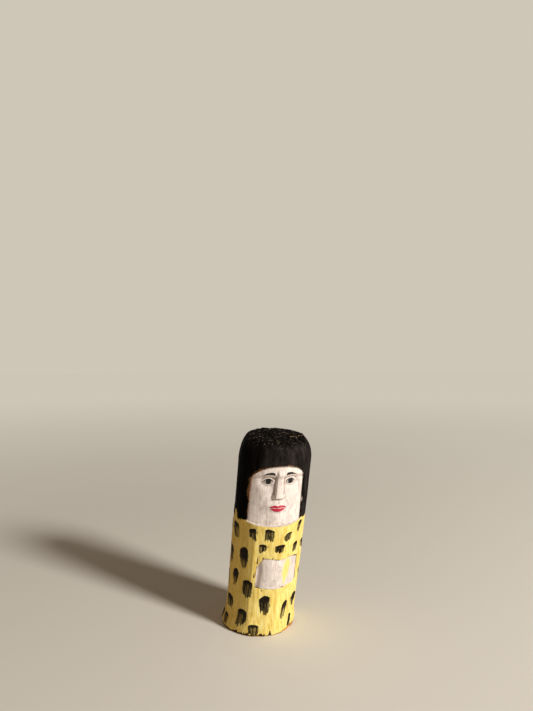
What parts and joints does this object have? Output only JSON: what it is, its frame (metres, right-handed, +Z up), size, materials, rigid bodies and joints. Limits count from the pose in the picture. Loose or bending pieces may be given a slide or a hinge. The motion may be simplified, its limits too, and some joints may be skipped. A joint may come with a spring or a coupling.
{
  "type": "painted wooden figure",
  "caption": "Small standing figure whittled from a leaning branch, with a carved face and clasped hands, a black bob and a yellow dress with black brush dabs; stands on its flat foot.",
  "frame": {"origin": "middle of the stick at the flat sawn foot that the figure stands on", "axes": "+Z up; the figure faces -Y; +X is its left, the side that the stick leans to"},
  "size_m": [0.0468, 0.0384, 0.0988],
  "materials": {
    "bare_wood": "bare cut branch wood",
    "black_paint": "matte black brushed paint",
    "white_paint": "matte pinkish white brushed paint",
    "yellow_paint": "matte warm yellow brushed paint with ochre streaks",
    "bright_yellow_paint": "matte bright yellow brushed paint",
    "red_paint": "satin crimson brushed paint"
  },
  "bodies": {
    "root": {"wood_core": "bare_wood", "hair_paint": "black_paint", "face_paint": "white_paint", "dress_paint": "yellow_paint", "hands_paint": "white_paint", "hands_stripe": "bright_yellow_paint", "right_eye": "black_paint", "left_eye": "black_paint", "right_brow": "black_paint", "left_brow": "black_paint", "upper_lip": "red_paint", "lower_lip": "red_paint", "dress_dab_01": "black_paint", "dress_dab_02": "black_paint", "dress_dab_03": "black_paint", "dress_dab_04": "black_paint", "dress_dab_05": "black_paint", "dress_dab_06": "black_paint", "dress_dab_07": "black_paint", "dress_dab_08": "black_paint", "dress_dab_09": "black_paint", "dress_dab_10": "black_paint", "dress_dab_11": "black_paint", "dress_dab_12": "black_paint", "dress_dab_13": "black_paint", "dress_dab_14": "black_paint", "dress_dab_15": "black_paint", "dress_dab_16": "black_paint", "dress_dab_17": "black_paint", "dress_dab_18": "black_paint", "dress_dab_19": "black_paint", "dress_dab_20": "black_paint", "dress_dab_21": "black_paint", "dress_dab_22": "black_paint", "dress_dab_23": "black_paint", "dress_dab_24": "black_paint", "dress_dab_25": "black_paint", "dress_dab_26": "black_paint", "dress_dab_27": "black_paint", "dress_dab_28": "black_paint", "dress_dab_29": "black_paint", "dress_dab_30": "black_paint", "dress_dab_31": "black_paint", "dress_dab_32": "black_paint", "dress_dab_33": "black_paint", "dress_dab_34": "black_paint", "dress_dab_35": "black_paint", "dress_dab_36": "black_paint", "dress_dab_37": "black_paint", "dress_dab_38": "black_paint", "dress_dab_39": "black_paint", "dress_dab_40": "black_paint", "dress_dab_41": "black_paint", "dress_dab_42": "black_paint", "dress_dab_43": "black_paint", "dress_dab_44": "black_paint", "dress_dab_45": "black_paint", "dress_dab_46": "black_paint", "dress_dab_47": "black_paint", "dress_dab_48": "black_paint"}
  },
  "joints": []
}
